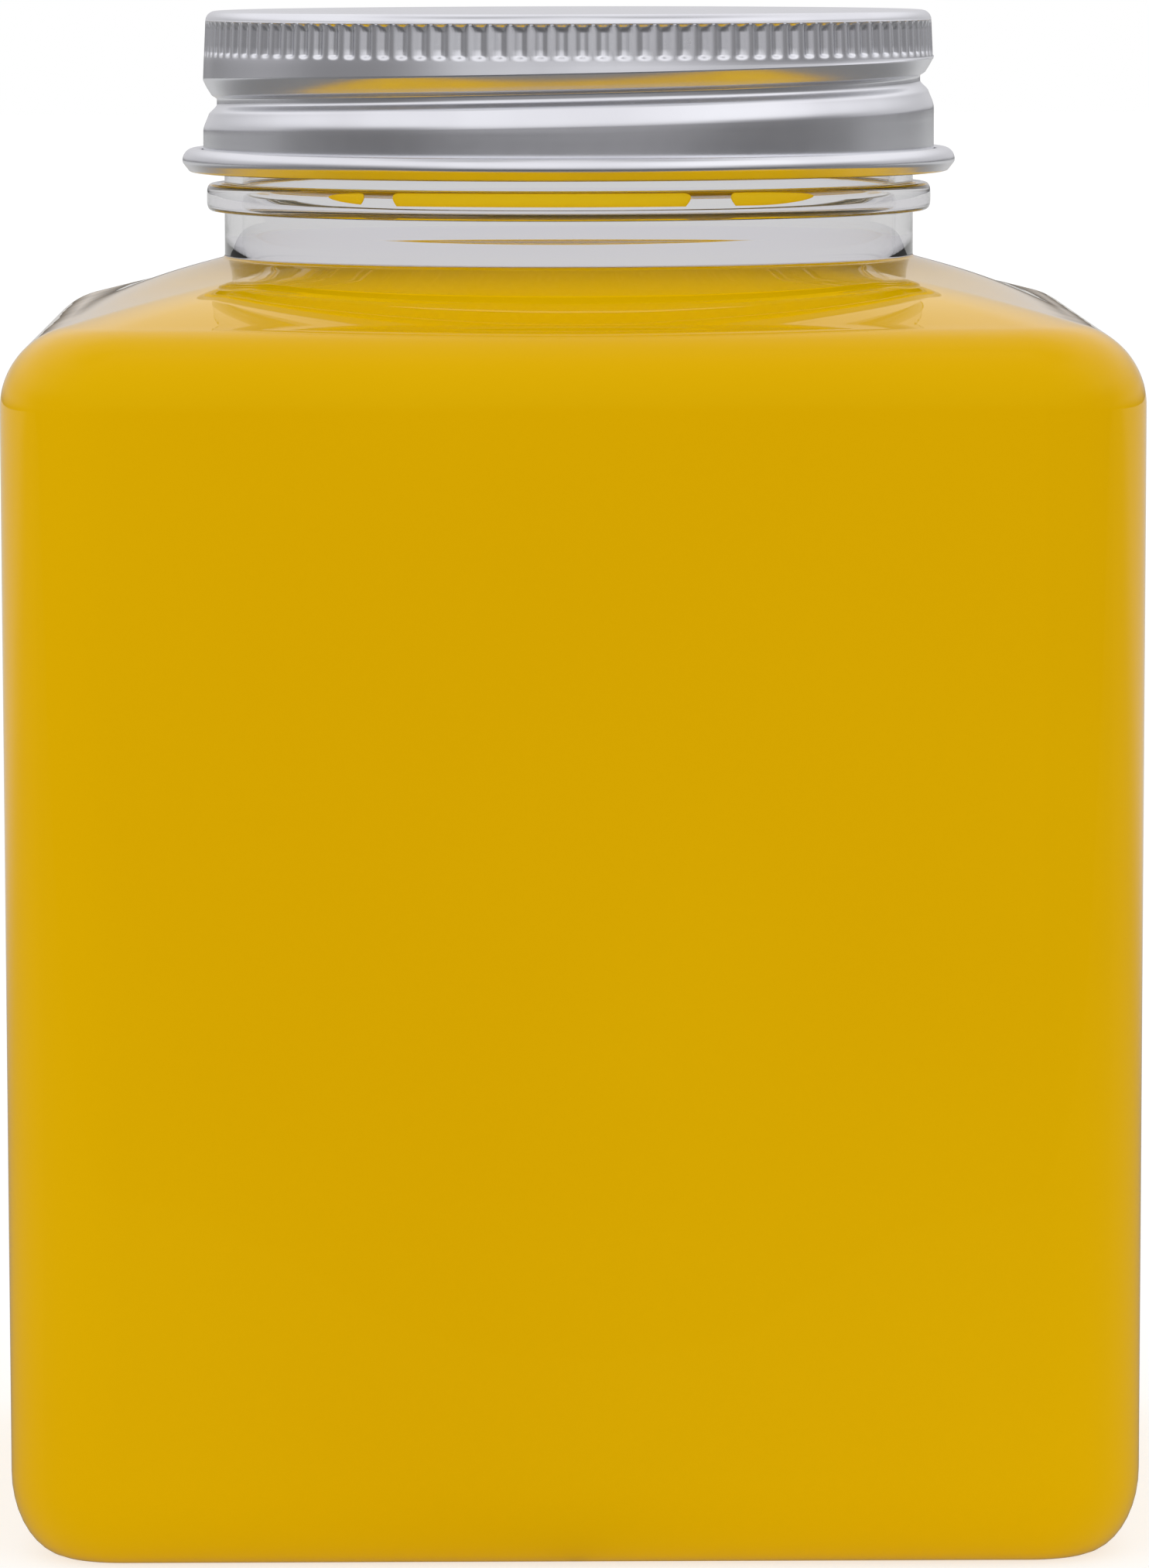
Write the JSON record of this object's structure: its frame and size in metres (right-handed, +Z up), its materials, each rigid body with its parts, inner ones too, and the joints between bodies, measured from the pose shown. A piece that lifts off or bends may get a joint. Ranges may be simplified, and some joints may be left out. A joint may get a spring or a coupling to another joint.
{
  "type": "square jar with screw lid",
  "caption": "Square clear plastic jar with rounded corners and a wide round neck, filled with opaque yellow liquid and closed by a knurled aluminium screw lid.",
  "frame": {"origin": "middle of the foot, on the surface that the jar stands on", "axes": "+Z up along the neck and lid axis, -Y out of the front face, +X to the right of the front"},
  "size_m": [0.1, 0.1, 0.135],
  "materials": {
    "clear_pet": "clear, glossy, blow moulded",
    "yellow_liquid": "opaque smooth liquid",
    "lid_aluminium": "satin, spun and rolled",
    "liner_foam": "soft white foam"
  },
  "bodies": {
    "filled_jar": {"jar": "clear_pet", "liquid": "yellow_liquid"},
    "wad_carriage": {"lid_liner": "liner_foam"},
    "screw_lid": {"lid": "lid_aluminium"}
  },
  "joints": [
    {"name": "lid_lift", "type": "slide", "parent": "filled_jar", "child": "wad_carriage", "axis": [0, 0, 1], "range_m": [0, 0.015]},
    {"name": "lid_turn", "type": "hinge", "parent": "wad_carriage", "child": "screw_lid", "pos_m": [0, 0, 0.1334], "axis": [0, 0, 1], "range_deg": [0, 1260]}
  ],
  "couplings": [
    {"joint": "lid_lift", "follows": "lid_turn", "m_per_rad": 0.00067322}
  ]
}
